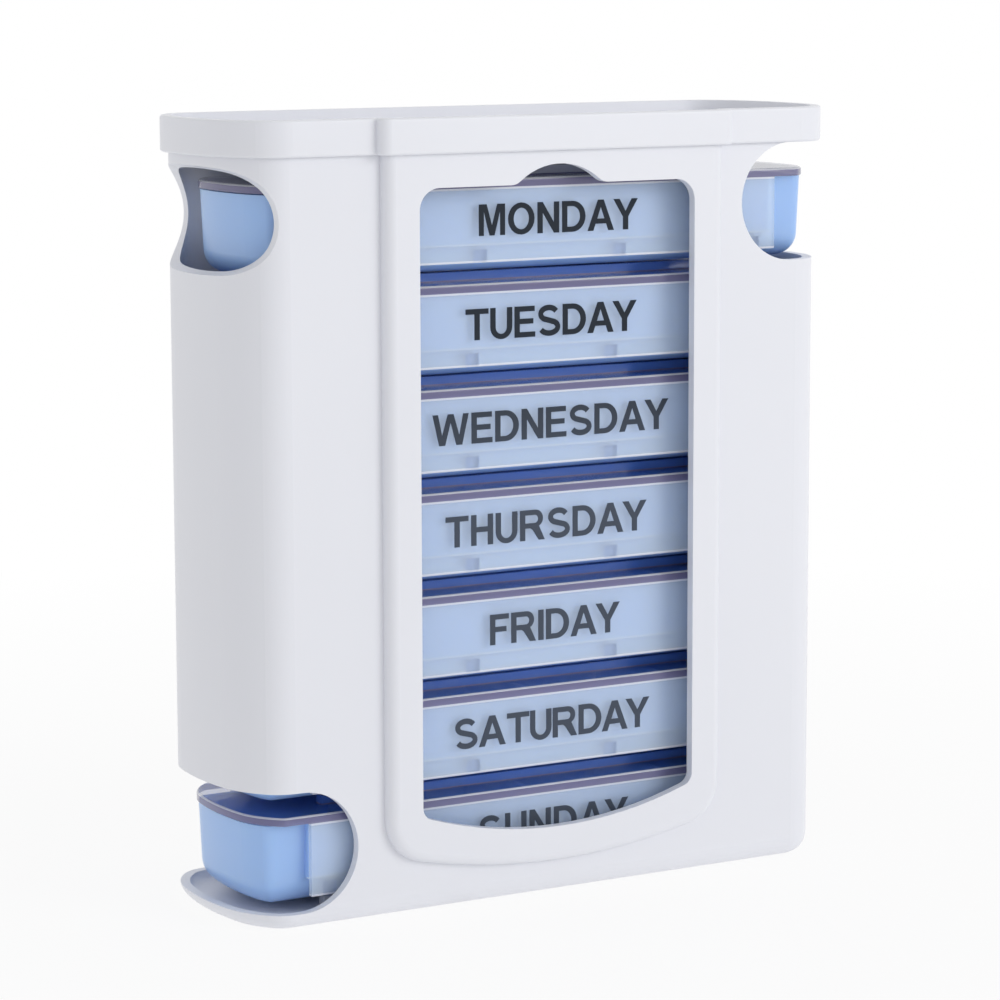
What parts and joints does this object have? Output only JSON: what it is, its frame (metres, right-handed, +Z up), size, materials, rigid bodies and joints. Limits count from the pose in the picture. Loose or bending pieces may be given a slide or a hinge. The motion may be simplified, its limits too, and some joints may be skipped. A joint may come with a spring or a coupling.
{
  "type": "weekly pill drawer organizer",
  "caption": "Upright plastic magazine for a week of medication: stacked day drawers with clear sliding covers behind a framed window, drawn out at the ends.",
  "frame": {"origin": "centre of the case's flat underside, on the surface it stands on", "axes": "+X along the front to the right, +Y to the back, +Z up; the window faces -Y"},
  "size_m": [0.1072, 0.0372, 0.12],
  "materials": {
    "case_white": "satin",
    "tray_blue": "satin",
    "cover_clear": "gloss"
  },
  "bodies": {
    "case": {"case_body": "case_white", "top_cap": "case_white", "saturday_tray": "tray_blue", "saturday_cover": "cover_clear", "friday_tray": "tray_blue", "friday_cover": "cover_clear", "thursday_tray": "tray_blue", "thursday_cover": "cover_clear", "wednesday_tray": "tray_blue", "wednesday_cover": "cover_clear", "tuesday_tray": "tray_blue", "tuesday_cover": "cover_clear"},
    "monday_drawer": {"monday_tray": "tray_blue"},
    "monday_lid": {"monday_cover": "cover_clear"},
    "sunday_drawer": {"sunday_tray": "tray_blue"},
    "sunday_lid": {"sunday_cover": "cover_clear"}
  },
  "joints": [
    {"name": "monday_drawer_slide", "type": "slide", "parent": "case", "child": "monday_drawer", "axis": [1, 0, 0], "range_m": [0, 0.1]},
    {"name": "monday_lid_slide", "type": "slide", "parent": "monday_drawer", "child": "monday_lid", "axis": [1, 0, 0], "range_m": [0, 0.096]},
    {"name": "sunday_drawer_slide", "type": "slide", "parent": "case", "child": "sunday_drawer", "axis": [-1, 0, 0], "range_m": [0, 0.1]},
    {"name": "sunday_lid_slide", "type": "slide", "parent": "sunday_drawer", "child": "sunday_lid", "axis": [-1, 0, 0], "range_m": [0, 0.096]}
  ]
}
